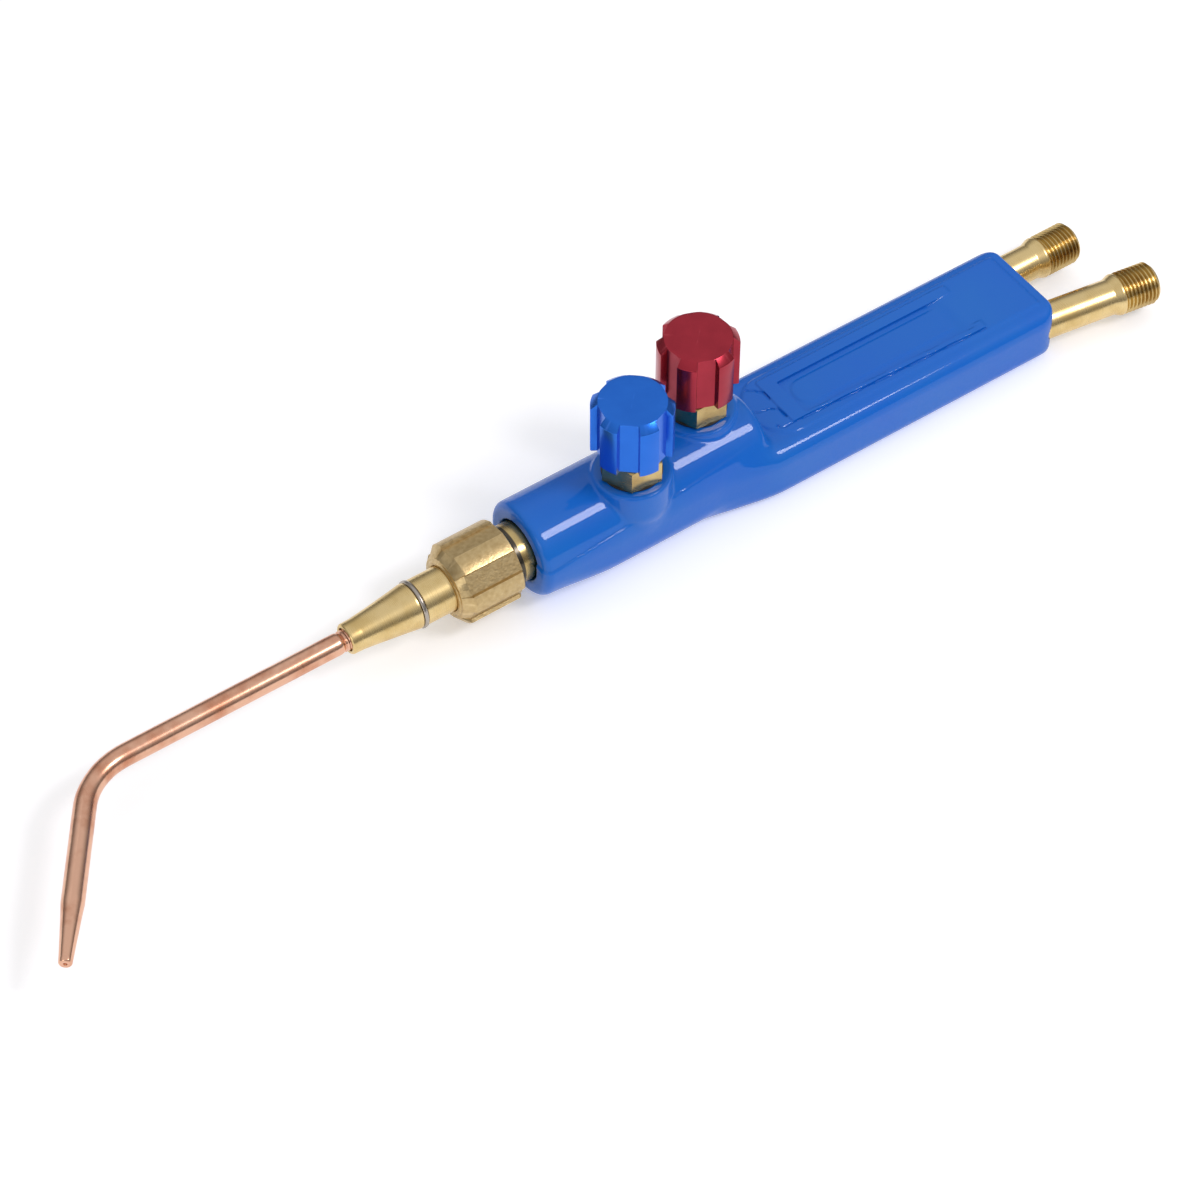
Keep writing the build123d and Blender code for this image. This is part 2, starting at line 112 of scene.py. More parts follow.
floor = plane_object("floor", 6.0, -0.0004)
softbox("streak_box", (-0.375, 0.585, 0.86), (0.06, 0.0, 0.02), 0.30, 0.26, 3.9, (0.97, 0.95, 1.0))
softbox("front_fill", (0.95, 0.45, 0.35), (0.10, 0.0, 0.02), 0.5, 0.35, 1.1)

world = bpy.data.worlds.new("studio")
scene.world = world
world.use_nodes = True
sky = world.node_tree
sky_place = sky.nodes.new("ShaderNodeTexCoord")
sky_split = sky.nodes.new("ShaderNodeSeparateXYZ")
sky_ramp = sky.nodes.new("ShaderNodeValToRGB")
sky.links.new(sky_place.outputs["Generated"], sky_split.inputs[0])
sky.links.new(sky_split.outputs["Z"], sky_ramp.inputs["Fac"])
sky_ramp.color_ramp.elements[0].position = 0.0
sky_ramp.color_ramp.elements[0].color = (0.10, 0.10, 0.11, 1)
sky_ramp.color_ramp.elements[1].position = 0.72
sky_ramp.color_ramp.elements[1].color = (0.80, 0.80, 0.82, 1)
middle = sky_ramp.color_ramp.elements.new(0.35)
middle.color = (0.34, 0.34, 0.35, 1)
sky.links.new(sky_ramp.outputs["Color"], sky.nodes["Background"].inputs["Color"])
sky.nodes["Background"].inputs["Strength"].default_value = 1.0

# %% [markdown]
# ## Shared surface effects
# Three effects turn up on nearly every surface here, so each is a node group, built once. Mottle is the soft
# uneven tone of paint, tarnish and castings. Tool marks are the fine rings that a lathe leaves along a turned
# bar. Worn edges brighten the corners that hands and spanners touch. Each group gives out plain values, and
# the material decides what they change.

# %% Small helpers for node trees
def feed(tree, socket, value):
    """Link an output into a socket, or set the socket's own value."""
    if hasattr(value, "is_linked"):
        tree.links.new(value, socket)
    elif value is not None:
        socket.default_value = value


def calc(tree, operation, *values):
    """One Math node; values are numbers or outputs."""
    node = tree.nodes.new("ShaderNodeMath")
    node.operation = operation
    for socket, value in zip(node.inputs, values):
        feed(tree, socket, value)
    return node.outputs[0]


def add_node(tree, kind, **inputs):
    """One node with its inputs set by name, with underscores for spaces."""
    node = tree.nodes.new(kind)
    for name, value in inputs.items():
        feed(tree, node.inputs[name.replace("_", " ")], value)
    return node


def value_range(tree, value, low, high, to_low, to_high):
    node = add_node(tree, "ShaderNodeMapRange", Value=value)
    node.inputs["From Min"].default_value, node.inputs["From Max"].default_value = low, high
    node.inputs["To Min"].default_value, node.inputs["To Max"].default_value = to_low, to_high
    return node.outputs["Result"]


# %% The three shared groups
def new_group(name, inputs, outputs):
    """Empty shader group with float or vector inputs and float outputs."""
    group = bpy.data.node_groups.new(name, "ShaderNodeTree")
    for label, kind, start in inputs:
        socket = group.interface.new_socket(label, in_out="INPUT", socket_type=kind)
        socket.default_value = start
    for label in outputs:
        group.interface.new_socket(label, in_out="OUTPUT", socket_type="NodeSocketFloat")
    return group, group.nodes.new("NodeGroupInput"), group.nodes.new("NodeGroupOutput")


mottle_group, given, result = new_group(
    "mottle", [("Scale", "NodeSocketFloat", 100.0), ("Detail", "NodeSocketFloat", 4.0),
               ("Low", "NodeSocketFloat", 0.35), ("High", "NodeSocketFloat", 0.65)], ["Mask"])
place = mottle_group.nodes.new("ShaderNodeTexCoord")
noise = add_node(mottle_group, "ShaderNodeTexNoise", Vector=place.outputs["Object"],
                 Scale=given.outputs["Scale"], Detail=given.outputs["Detail"])
spread = add_node(mottle_group, "ShaderNodeMapRange", Value=noise.outputs["Fac"])
feed(mottle_group, spread.inputs["From Min"], given.outputs["Low"])
feed(mottle_group, spread.inputs["From Max"], given.outputs["High"])
feed(mottle_group, result.inputs["Mask"], spread.outputs["Result"])

tool_group, given, result = new_group(
    "tool_marks", [("Axis", "NodeSocketVector", (1, 0, 0)), ("Scale", "NodeSocketFloat", 2500.0),
                   ("Wander", "NodeSocketFloat", 60.0)], ["Height"])
place = tool_group.nodes.new("ShaderNodeTexCoord")
along = tool_group.nodes.new("ShaderNodeVectorMath")
along.operation = "DOT_PRODUCT"
feed(tool_group, along.inputs[0], place.outputs["Object"])
feed(tool_group, along.inputs[1], given.outputs["Axis"])
drift = add_node(tool_group, "ShaderNodeTexNoise", Vector=place.outputs["Object"],
                 Scale=given.outputs["Wander"])
shift = calc(tool_group, "MULTIPLY", drift.outputs["Fac"], 1.2)
station = calc(tool_group, "MULTIPLY_ADD", along.outputs["Value"], given.outputs["Scale"], shift)
lines = tool_group.nodes.new("ShaderNodeTexNoise")
lines.noise_dimensions = "1D"
feed(tool_group, lines.inputs["W"], station)
lines.inputs["Scale"].default_value = 1.0
lines.inputs["Detail"].default_value = 3.0
feed(tool_group, result.inputs["Height"], lines.outputs["Fac"])

wear_group, given, result = new_group(
    "worn_edges", [("Start", "NodeSocketFloat", 0.52), ("Full", "NodeSocketFloat", 0.60),
                   ("Patch Scale", "NodeSocketFloat", 300.0)], ["Mask"])
shape = wear_group.nodes.new("ShaderNodeNewGeometry")
corner = add_node(wear_group, "ShaderNodeMapRange", Value=shape.outputs["Pointiness"])
feed(wear_group, corner.inputs["From Min"], given.outputs["Start"])
feed(wear_group, corner.inputs["From Max"], given.outputs["Full"])
place = wear_group.nodes.new("ShaderNodeTexCoord")
patch = add_node(wear_group, "ShaderNodeTexNoise", Vector=place.outputs["Object"],
                 Scale=given.outputs["Patch Scale"])
patches = value_range(wear_group, patch.outputs["Fac"], 0.35, 0.6, 0.25, 1.0)
feed(wear_group, result.inputs["Mask"], calc(wear_group, "MULTIPLY", corner.outputs["Result"], patches))
print("groups", [g.name for g in (mottle_group, tool_group, wear_group)])

# %% [markdown]
# ## Finishes
# Each finish starts from what it is: baked enamel is colour under a clear gloss with a faint orange peel,
# turned brass is metal with fine rings, bare copper goes pink and brown in patches, and anodising is a
# dyed, slightly cloudy skin over aluminium. The colours are given as they look in daylight.

# %% Material helpers
def daylight(red, green, blue):
    """Everyday 0-255 colour turned into the linear values that light works in."""
    linear = [((v / 255 + 0.055) / 1.055) ** 2.4 if v > 10 else v / 255 / 12.92 for v in (red, green, blue)]
    return (*linear, 1.0)


def use_group(tree, group, **values):
    node = tree.nodes.new("ShaderNodeGroup")
    node.node_tree = group
    for name, value in values.items():
        feed(tree, node.inputs[name.replace("_", " ")], value)
    return node.outputs[0]


def mix_colour(tree, mask, first, second):
    node = tree.nodes.new("ShaderNodeMix")
    node.data_type = "RGBA"
    feed(tree, node.inputs["Factor"], mask)
    colours = [s for s in node.inputs if s.type == "RGBA"]
    feed(tree, colours[0], first)
    feed(tree, colours[1], second)
    return [s for s in node.outputs if s.type == "RGBA"][0]


def start_material(name, metallic):
    material = bpy.data.materials.new(name)
    material.use_nodes = True
    tree = material.node_tree
    shader = tree.nodes["Principled BSDF"]
    shader.inputs["Metallic"].default_value = metallic
    return material, tree, shader


def bump(tree, shader, height, strength, distance):
    node = add_node(tree, "ShaderNodeBump", Height=height)
    node.inputs["Strength"].default_value = strength
    node.inputs["Distance"].default_value = distance
    feed(tree, shader.inputs["Normal"], node.outputs["Normal"])


# %% Enamel, metals, anodising and rubber
def enamel(name, colour, deep):
    """Glossy baked paint with slow tone changes and a fine orange peel."""
    material, tree, shader = start_material(name, 0.0)
    tone = use_group(tree, mottle_group, Scale=38.0, Detail=3.0, Low=0.3, High=0.7)
    feed(tree, shader.inputs["Base Color"], mix_colour(tree, tone, colour, deep))
    dust = use_group(tree, mottle_group, Scale=900.0, Detail=2.0)
    feed(tree, shader.inputs["Roughness"], value_range(tree, dust, 0, 1, 0.4, 0.5))
    shader.inputs["Specular IOR Level"].default_value = 0.08
    shader.inputs["Coat Weight"].default_value = 0.55
    shader.inputs["Coat Roughness"].default_value = 0.045
    peel = use_group(tree, mottle_group, Scale=620.0, Detail=2.0, Low=0.2, High=0.8)
    bump(tree, shader, peel, 0.3, 0.00006)
    return material


def turned_metal(name, colour, dull, rough, axis=(1, 0, 0), marks=2600.0, depth=0.000007, wear=0.25):
    """Bare metal with lathe rings, patches of tarnish and bright corners."""
    material, tree, shader = start_material(name, 1.0)
    stain = use_group(tree, mottle_group, Scale=140.0, Detail=5.0, Low=0.42, High=0.72)
    base = mix_colour(tree, stain, colour, dull)
    edge = use_group(tree, wear_group, Start=0.515, Full=0.58)
    bright = tuple(min(1.0, v * 1.25 + 0.03) for v in colour[:3]) + (1.0,)
    worn = calc(tree, "MULTIPLY", edge, wear)
    feed(tree, shader.inputs["Base Color"], mix_colour(tree, worn, base, bright))
    rings = use_group(tree, tool_group, Axis=axis, Scale=marks)
    smear = calc(tree, "MULTIPLY_ADD", rings, 0.12, rough - 0.06)
    feed(tree, shader.inputs["Roughness"], calc(tree, "MULTIPLY_ADD", stain, 0.07, smear))
    bump(tree, shader, rings, 0.3, depth)
    return material


def darken_band(material, start, end, colour):
    """Lay a darker ring over a finish, between two stations along the torch."""
    tree = material.node_tree
    base = tree.nodes["Principled BSDF"].inputs["Base Color"]
    place = tree.nodes.new("ShaderNodeTexCoord")
    x = add_node(tree, "ShaderNodeSeparateXYZ", Vector=place.outputs["Object"]).outputs[0]
    rise = value_range(tree, x, start, start + 0.0002, 0.0, 1.0)
    fall = value_range(tree, x, end, end + 0.0002, 1.0, 0.0)
    feed(tree, base, mix_colour(tree, calc(tree, "MULTIPLY", rise, fall), base.links[0].from_socket, colour))
    return material


def cast_metal(name, colour, dull, rough):
    """Forged or cast metal: satin, with fine grain in place of rings."""
    material, tree, shader = start_material(name, 1.0)
    stain = use_group(tree, mottle_group, Scale=700.0, Detail=4.0, Low=0.25, High=0.85)
    base = mix_colour(tree, stain, colour, dull)
    edge = use_group(tree, wear_group, Start=0.51, Full=0.57)
    bright = tuple(min(1.0, v * 1.3 + 0.04) for v in colour[:3]) + (1.0,)
    feed(tree, shader.inputs["Base Color"], mix_colour(tree, calc(tree, "MULTIPLY", edge, 0.5), base, bright))
    grain = use_group(tree, mottle_group, Scale=1500.0, Detail=3.0, Low=0.25, High=0.75)
    feed(tree, shader.inputs["Roughness"], value_range(tree, grain, 0, 1, rough - 0.05, rough + 0.1))
    bump(tree, shader, grain, 0.45, 0.00006)
    return material


def anodised(name, colour, deep):
    """Dyed aluminium: cloudy satin with a slightly paler skin on its corners."""
    material, tree, shader = start_material(name, 0.82)
    cloud = use_group(tree, mottle_group, Scale=160.0, Detail=3.0, Low=0.2, High=0.85)
    base = mix_colour(tree, cloud, colour, deep)
    edge = use_group(tree, wear_group, Start=0.52, Full=0.6)
    pale = tuple(min(1.0, v * 1.3 + 0.05) for v in colour[:3]) + (1.0,)
    feed(tree, shader.inputs["Base Color"], mix_colour(tree, calc(tree, "MULTIPLY", edge, 0.6), base, pale))
    feed(tree, shader.inputs["Roughness"], value_range(tree, cloud, 0, 1, 0.2, 0.27))
    frost = use_group(tree, mottle_group, Scale=3000.0, Detail=2.0)
    bump(tree, shader, frost, 0.1, 0.000004)
    return material


def rubber(name, colour, dusty):
    """Matte elastomer with a little dust."""
    material, tree, shader = start_material(name, 0.0)
    dust = use_group(tree, mottle_group, Scale=500.0, Detail=4.0, Low=0.45, High=0.8)
    feed(tree, shader.inputs["Base Color"], mix_colour(tree, dust, colour, dusty))
    feed(tree, shader.inputs["Roughness"], value_range(tree, dust, 0, 1, 0.6, 0.85))
    bump(tree, shader, dust, 0.3, 0.00003)
    return material


FINISH = {
    "blue_enamel": enamel("blue_enamel", daylight(14, 98, 198), daylight(18, 104, 196)),
    "brass": turned_metal("turned_brass", daylight(224, 198, 142), daylight(204, 174, 112), 0.25),
    "collar_brass": darken_band(
        turned_metal("collar_brass", daylight(196, 172, 116), daylight(160, 134, 84), 0.22),
        0.0953, 0.0969, daylight(84, 78, 68)),
    "cast_brass": cast_metal("cast_brass", daylight(206, 182, 134), daylight(176, 148, 100), 0.33),
    "valve_brass": turned_metal("valve_brass", daylight(202, 176, 118), daylight(168, 138, 84), 0.2,
                                (0, 0, 1)),
    "copper": turned_metal("copper_tube", daylight(226, 178, 150), daylight(198, 136, 106), 0.22,
                           marks=700.0),
    "blue_anodised": anodised("blue_anodised", daylight(40, 112, 214), daylight(34, 104, 206)),
    "red_anodised": anodised("red_anodised", daylight(168, 46, 60), daylight(150, 38, 52)),
    "spring_steel": turned_metal("ring_steel", daylight(172, 164, 154), daylight(128, 120, 110), 0.26),
    "black_rubber": rubber("seal_rubber", daylight(24, 24, 26), daylight(62, 60, 58)),
}
floor_paint = enamel("pale_floor", daylight(246, 246, 246), daylight(244, 244, 244))
floor_shader = floor_paint.node_tree.nodes["Principled BSDF"]
for link in list(floor_shader.inputs["Normal"].links) + list(floor_shader.inputs["Roughness"].links):
    floor_paint.node_tree.links.remove(link)
floor_shader.inputs["Roughness"].default_value = 0.7
floor_shader.inputs["Coat Weight"].default_value = 0.0
floor_shader.inputs["Specular IOR Level"].default_value = 0.1
floor_shader.inputs["Emission Color"].default_value = (1.0, 1.0, 1.0, 1.0)
floor_shader.inputs["Emission Strength"].default_value = 0.3
floor.data.materials.append(floor_paint)
print("finishes", len(FINISH))

# %% [markdown]
# ## Mesh helpers
# Turned pieces are drawn as a half outline and swept round an axis, as a lathe makes them. Real corners are
# never quite sharp, so each corner of an outline is eased by a small arc first. Every mesh is closed, and
# its faces are turned outwards before it is used.

# %% Lathe and mesh helpers
def eased(corners, ease, steps=3):
    """Outline with every inner corner rounded by a short curve; corners are (radius, station) pairs."""
    out = [corners[0]]
    for before, here, after in zip(corners, corners[1:], corners[2:]):
        back = hypot(before[0] - here[0], before[1] - here[1])
        ahead = hypot(after[0] - here[0], after[1] - here[1])
        cut = min(ease, 0.45 * back, 0.45 * ahead)
        a = [h + (b - h) * cut / back for h, b in zip(here, before)]
        c = [h + (n - h) * cut / ahead for h, n in zip(here, after)]
        for i in range(steps + 1):
            t = i / steps
            out.append(tuple((1 - t) ** 2 * p + 2 * t * (1 - t) * h + t * t * q
                             for p, h, q in zip(a, here, c)))
    return out + [corners[-1]]


def finish_mesh(name, points, faces, material, sharp=38.0):
    """Mesh object in metres from millimetre points, closed, facing outwards and smoothed."""
    mesh = bpy.data.meshes.new(name)
    mesh.from_pydata([tuple(v * MM for v in p) for p in points], [], faces)
    work = bmesh.new()
    work.from_mesh(mesh)
    bmesh.ops.remove_doubles(work, verts=work.verts, dist=1e-7)
    bmesh.ops.recalc_face_normals(work, faces=work.faces)
    open_edges = sum(1 for e in work.edges if len(e.link_faces) != 2)
    work.to_mesh(mesh)
    work.free()
    mesh.shade_smooth()
    mesh.set_sharp_from_angle(angle=radians(sharp))
    mesh.materials.append(material)
    item = bpy.data.objects.new(name, mesh)
    scene.collection.objects.link(item)
    print(f"{name}: {len(mesh.vertices)} vertices, open edges {open_edges}")
    return item


def lathe(name, outline, placing, material, segments=96, sharp=38.0, gap=0.0):
    """Sweep a closed (radius, station) outline round +Z and place it; gap leaves that many degrees open."""
    points, faces, rows = [], [], []
    span = 2 * pi - radians(gap)
    around = [radians(gap) / 2 + span * i / segments for i in range(segments + (1 if gap else 0))]
    for radius, station in outline:
        if radius < 1e-6:
            rows.append([len(points)])
            points.append((0.0, 0.0, station))
        else:
            rows.append(list(range(len(points), len(points) + len(around))))
            points += [(radius * cos(a), radius * sin(a), station) for a in around]
    pairs = list(zip(rows, rows[1:]))
    if len(rows[0]) > 1 and len(rows[-1]) > 1:
        pairs.append((rows[-1], rows[0]))
    for low, high in pairs:
        for i in range(segments):
            j = i + 1 if gap else (i + 1) % segments
            ring = [low[i % len(low)], low[j % len(low)], high[j % len(high)], high[i % len(high)]]
            ring = list(dict.fromkeys(ring))
            if len(ring) > 2:
                faces.append(ring)
    if gap:
        faces += [[row[0] for row in rows], [row[-1] for row in reversed(rows)]]
    points = [tuple(placing @ Vector(p)) for p in points]
    return finish_mesh(name, points, faces, material, sharp)


AXIS_HEIGHT = 15.0
ON_AXIS = Matrix.Translation((0, 0, AXIS_HEIGHT)) @ Matrix.Rotation(pi / 2, 4, "Y")


def stand_for(piece, node, body):
    """Piece takes over a CAD node: it rides on the node's body, and the node itself is hidden."""
    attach(piece, body)
    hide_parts(node)


# %% [markdown]
# ## The handle casting
# On the real torch this is one sand or die casting, so no form meets another at a hard corner: bosses melt
# into the barrel, and the handle runs into the neck in one sweep. Boolean solids can't give that easily.
# Here every form is a distance field, a rule that says how far a point is from the form's skin, and the
# fields are blended softly. A grid finds the skin, and each point is then slid exactly onto it.

# %% Distance rules
def smooth_step(value, low, high):
    t = np.clip((value - low) / (high - low), 0, 1)
    return t * t * (3 - 2 * t)


def join(a, b, soft):
    """Union of two fields with a fillet of about the given size."""
    h = np.clip(0.5 + 0.5 * (b - a) / soft, 0, 1)
    return b * (1 - h) + a * h - soft * h * (1 - h)


def carve(a, tool, soft):
    """Field a with the tool's field cut away."""
    return -join(-a, tool, soft)


def both(a, b, ease):
    """Where two fields overlap, with the corner between them eased."""
    a, b = a + ease, b + ease
    return np.hypot(np.maximum(a, 0), np.maximum(b, 0)) + np.minimum(np.maximum(a, b), 0) - ease


def strip(x, y, ends, width):
    """Distance to a round-ended bar in plan through a list of points."""
    best = None
    for (ax, ay), (bx, by) in zip(ends, ends[1:]):
        t = np.clip(((x - ax) * (bx - ax) + (y - ay) * (by - ay)) / ((bx - ax) ** 2 + (by - ay) ** 2), 0, 1)
        gap = np.hypot(x - ax - t * (bx - ax), y - ay - t * (by - ay)) - width
        best = gap if best is None else np.minimum(best, gap)
    return best


# %% The casting's forms
BODY_FRONT, BODY_REAR = 92.0, -92.0
BARREL_RADIUS, KEEL_ROUND = 14.6, 9.3
HANDLE_HALF, HANDLE_TOP, HANDLE_EDGE = 17.48, 19.4, 5.5
BOSS_RADIUS, BOSS_TOP = 11.6, 30.58
VALVES = {"oxygen": (56.0, 4.75), "fuel": (26.5, -4.75)}
INLETS = {"oxygen": (11.2, 8.3, 22.2, 2.2), "fuel": (-11.1, 0.0, 12.0, 2.6)}
NECK_RADIUS, NECK_DEPTH, TAIL_RADIUS, INSERT = 5.6, 6.0, 4.35, 22.0
PAD_HALF, PROW_X, PAD_TOP, BAND_TOP, PANEL_FLOOR = 13.4, 11.0, 19.95, 20.3, 19.1


def barrel_field(x, y, z):
    low = KEEL_ROUND + (BARREL_RADIUS - KEEL_ROUND) * smooth_step(x, BODY_FRONT - 25, BODY_FRONT)
    turn = np.where(z > AXIS_HEIGHT, BARREL_RADIUS, low)
    half = (AXIS_HEIGHT + BARREL_RADIUS) / 2
    across, up = np.abs(y) - BARREL_RADIUS + turn, np.abs(z - half) - half + turn
    outside = np.hypot(np.maximum(across, 0), np.maximum(up, 0))
    section = outside + np.minimum(np.maximum(across, up), 0) - turn
    front = both(section, x - BODY_FRONT, 2.2)
    return both(front, 12.0 - x, 4.0)


def handle_field(x, y, z):
    """Flat handle: long edges well rounded, rear corners round in plan, rear face nearly sharp on top."""
    half = 12.5 + (HANDLE_HALF - 12.5) * smooth_step(-x, -40.0, -8.0) - 2.5 * smooth_step(x, 24.0, 44.0)
    side, middle = np.abs(y) - half, HANDLE_TOP / 2
    bar = both(side, np.abs(z - middle) - middle, HANDLE_EDGE)
    plan = both(side - 1.2, BODY_REAR - x, 7.4)
    return np.maximum(both(bar, plan, 1.6), x - 44.0)


def boss_field(x, y, z, place, side):
    """Round boss that sinks into the lower body under the parting line."""
    sink = 4.6 * smooth_step(-z, -22.0, -6.0)
    wall = np.hypot(x - place, y - side) - BOSS_RADIUS + sink
    return both(wall, np.maximum(z - BOSS_TOP, 3.0 - z), 0.9)


def parting_step(x, y, z):
    """How far the lower half of the mould stands out on the near side."""
    line = 19.9 - 0.09 * (x - 64.0)
    below = smooth_step(line - z, -0.15, 0.2) * smooth_step(z, 1.0, 9.0)
    return 0.5 * below * smooth_step(x, 10.0, 60.0) * smooth_step(y, 2.0, 6.0)


def top_plate(x, y, z):
    """Low plateau with a round prow behind the fuel valve."""
    plate = np.maximum(x - PROW_X + PAD_HALF, BODY_REAR + 3.0 - x)
    plate = np.minimum(plate, np.hypot(x - PROW_X + PAD_HALF, y) - PAD_HALF)
    plate = both(plate, np.abs(y) - 12.6, 1.5)
    return both(plate, np.abs(z - PAD_TOP + 3.0) - 3.0, 1.5)


def top_relief(field, x, y, z):
    """Framed panel, its soft inner panel, and the lines that run round the prow."""
    near, far = 8.75 - 0.0312 * x, -10.3
    band = both(np.abs(y - (near + far) / 2) - (near - far) / 2, np.abs(x + 34.0) - 35.2, 1.0)
    hole = both(np.abs(y - 0.4) - 7.0, np.abs(x + 68.0) - 8.0, 1.0)
    band = np.maximum(band, -hole)
    field = join(field, both(band, z - BAND_TOP, 0.22), 0.2)
    slope = 7.5 - 0.02 * (x + 4.0)
    panel = both(np.abs(y - (slope - 6.7) / 2) - (slope + 6.7) / 2, np.abs(x + 37.0) - 33.0, 0.8)
    rising = (BAND_TOP + 0.2 - PANEL_FLOOR) * smooth_step(-x, 58.0, 70.0)
    panel = both(panel, PANEL_FLOOR + rising - z, 0.2)
    field = carve(field, panel, 0.15)
    inner = both(np.abs(y - 0.3) - 5.0, np.abs(x + 36.5) - 30.8, 4.4)
    field = join(field, both(inner, z - PANEL_FLOOR - 0.3, 0.25), 0.2)
    lines = [[(5.8, 6.9), (5.5, 8.0), (4.7, 8.6), (-69.0, 10.9)],
             [(6.3, -10.4), (3.2, -8.0), (1.3, -5.6), (1.4, -2.7)],
             [(12.0, -2.7), (6.8, -0.2), (3.4, 0.5), (1.7, 1.9), (1.4, 5.7)]]
    for line in lines:
        groove = both(strip(x, y, line, 0.28), PAD_TOP - 0.4 - z, 0.1)
        field = carve(field, groove, 0.12)
    return field


def hollow_field(x, y, z):
    """Bore for the valve core, the hollow round the pipes and the sockets for the valves."""
    round_axis = np.hypot(y, z - AXIS_HEIGHT)
    cut = np.maximum(round_axis - 9.25, 18.0 - x)
    cut = np.minimum(cut, np.maximum(round_axis - 9.62, 88.0 - x))
    box = np.maximum(np.maximum(np.abs(y) - 14.4, np.abs(z - 9.8) - 5.7), np.abs(x + 27.4) - 42.0)
    cut = np.minimum(cut, box)
    for place, side in VALVES.values():
        cut = np.minimum(cut, np.maximum(np.hypot(x - place, y - side) - 5.15, 15.0 - z))
    return cut


def socket_field(x, y, z):
    """Sockets that hold the two hose inlets."""
    cut = None
    for spread, splay, neck, shoulder in INLETS.values():
        lean = tan(radians(splay)) * (1 if spread > 0 else -1)
        centre = spread - lean * (x - BODY_REAR)
        off = np.hypot((y - centre) * cos(radians(splay)), z - 9.5)
        hole = np.maximum(off - TAIL_RADIUS - 0.02, x - BODY_REAR - 24.0)
        hole = np.minimum(hole, np.maximum(off - NECK_RADIUS + 0.05, x - BODY_REAR - NECK_DEPTH - 0.2))
        cut = hole if cut is None else np.minimum(cut, hole)
    return cut


def casting_field(x, y, z):
    field = join(barrel_field(x, y, z), handle_field(x, y, z), 3.0) - parting_step(x, y, z)
    for place, side in VALVES.values():
        field = join(field, boss_field(x, y, z, place, side), 1.1 + 0.9 * smooth_step(-z, -20.0, -14.0))
    field = join(field, top_plate(x, y, z), 0.5)
    field = both(top_relief(field, x, y, z), -z, 0.4)
    return np.maximum(carve(field, hollow_field(x, y, z), 0.25), -socket_field(x, y, z))


# %% Find the skin
def stations(*runs):
    """Grid lines from runs of (start, end, step): fine where there is detail, coarse where there is none."""
    lines = [np.arange(start, end - 1e-6, step) for start, end, step in runs]
    return np.concatenate(lines + [np.array([runs[-1][1]])])


def skin(field, axes):
    """Quads on the zero level of a field, with every point slid onto the skin."""
    x, y, z = np.meshgrid(*axes, indexing="ij")
    value = field(x, y, z)
    inside = value < 0
    shape = tuple(n - 1 for n in value.shape)
    corners = [(i, j, k) for i in (0, 1) for j in (0, 1) for k in (0, 1)]
    part = {c: tuple(slice(o, o + n) for o, n in zip(c, shape)) for c in corners}
    count = sum(inside[part[c]].astype(int) for c in corners)
    active = (count > 0) & (count < 8)
    total, hits = np.zeros(shape + (3,)), np.zeros(shape)
    for a in corners:
        for axis in range(3):
            if a[axis]:
                continue
            b = tuple(1 if n == axis else v for n, v in enumerate(a))
            va, vb = value[part[a]], value[part[b]]
            cross = (va < 0) != (vb < 0)
            t = np.where(cross, va / np.where(cross, va - vb, 1.0), 0.0)
            for n in range(3):
                total[..., n] += np.where(cross, a[n] + (t if n == axis else 0.0), 0.0)
            hits += cross
    index = -np.ones(shape, int)
    index[active] = np.arange(int(active.sum()))
    cells = np.argwhere(active)
    share = total[active] / hits[active][:, None]
    points = np.stack([axes[n][cells[:, n]] + share[:, n] * np.diff(axes[n])[cells[:, n]]
                       for n in range(3)], 1)
    faces = []
    for axis in range(3):
        u, v = [n for n in range(3) if n != axis]
        first = tuple(slice(0, -1) if n == axis else slice(1, -1) for n in range(3))
        second = tuple(slice(1, None) if n == axis else slice(1, -1) for n in range(3))
        spots = np.argwhere(inside[first] != inside[second])
        spots[:, u] += 1
        spots[:, v] += 1
        ring = []
        for du, dv in ((0, 0), (1, 0), (1, 1), (0, 1)):
            at = spots.copy()
            at[:, u] -= du
            at[:, v] -= dv
            ring.append(index[tuple(at.T)])
        faces.append(np.stack(ring, 1))
    for turn in range(5):
        nudge, home = 0.02, field(*points.T)
        slope = np.stack([(field(*(points + nudge * np.eye(3)[n]).T) - home) / nudge for n in range(3)], 1)
        move = slope * (home / np.maximum((slope ** 2).sum(1), 0.2))[:, None]
        points = points - np.clip(move, -0.16, 0.16) * 0.8
    return points, np.concatenate(faces)


GRID = (stations((-93.4, -82.0, 0.6), (-82.0, -6.4, 0.84), (-6.4, 14.0, 0.425), (14.0, 93.4, 0.6)),
        stations((-18.9, -12.0, 0.6), (-12.0, 12.0, 0.4), (12.0, 18.9, 0.6)),
        stations((-1.2, 15.6, 0.7), (15.6, 21.1, 0.35), (21.1, 32.1, 0.6)))
casting_points, casting_faces = skin(casting_field, GRID)
print("casting", len(casting_points), "points", len(casting_faces), "quads")

# %% Casting object
casting = finish_mesh("casting", casting_points.tolist(), casting_faces.tolist(), FINISH["blue_enamel"], 60.0)
stand_for(casting, "handle_casting", "torch")

# %% [markdown]
# ## Slotted grips
# A knob's grip and the union nut are the same idea: a turned blank, with one cut repeated round it. Geometry
# Nodes suit that, because the number of cuts, their size and their phase stay open. The tree works out each
# point's angle from the nearest cut, and pulls the point in where the cutter has passed.

